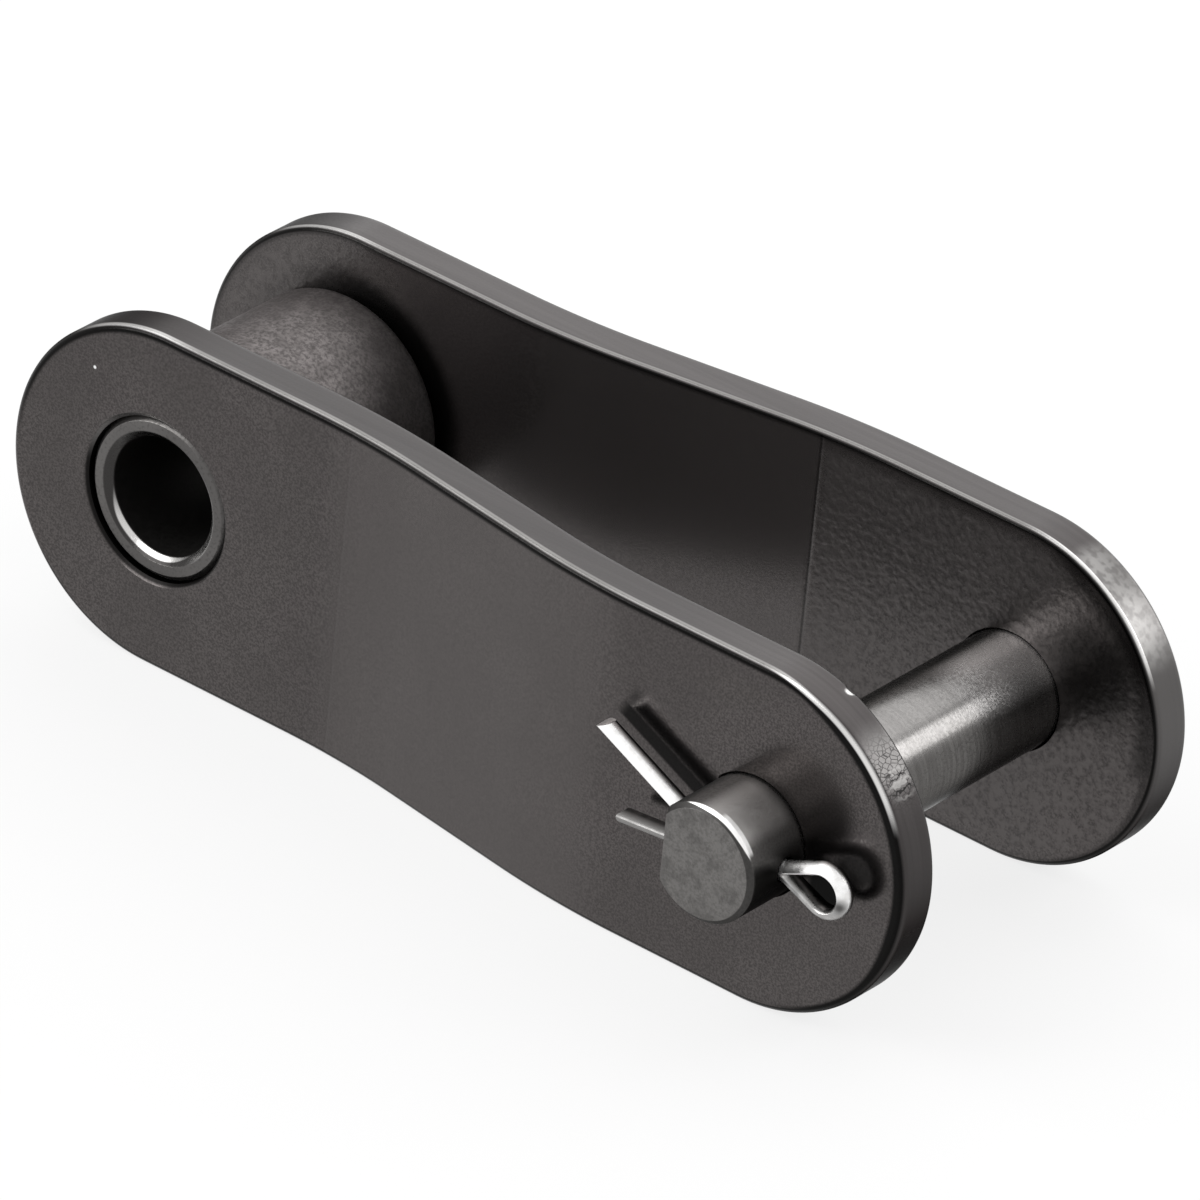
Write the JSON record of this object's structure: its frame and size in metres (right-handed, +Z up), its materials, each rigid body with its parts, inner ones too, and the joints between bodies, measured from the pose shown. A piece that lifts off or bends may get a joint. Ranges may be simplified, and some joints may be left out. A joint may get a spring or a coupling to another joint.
{
  "type": "offset link",
  "caption": "Offset chain link with cranked side plates, a roller turning on a pressed bushing at the narrow end, and a flatted link pin locked by a split cotter pin at the wide end.",
  "frame": {"origin": "centre of the bushing bore, midway between the side plates", "axes": "+X from the bushing axis to the link pin axis, +Y along the bushing axis towards the rear plate, +Z up across the height of the plates"},
  "size_m": [0.037, 0.0177, 0.0116],
  "materials": {
    "plate_steel": "oiled dark steel, satin",
    "bushing_steel": "turned steel, lightly oiled",
    "roller_steel": "tumbled grey steel",
    "pin_steel": "hardened grey steel, satin",
    "cotter_steel": "bright drawn wire"
  },
  "bodies": {
    "link": {"front_plate": "plate_steel", "rear_plate": "plate_steel", "bushing": "bushing_steel", "link_pin": "pin_steel", "cotter_pin": "cotter_steel"},
    "roller": {"roller": "roller_steel"}
  },
  "joints": [
    {"name": "roller_spin", "type": "hinge", "parent": "link", "child": "roller", "pos_m": [0, 0, 0], "axis": [0, 1, 0], "continuous": true}
  ]
}
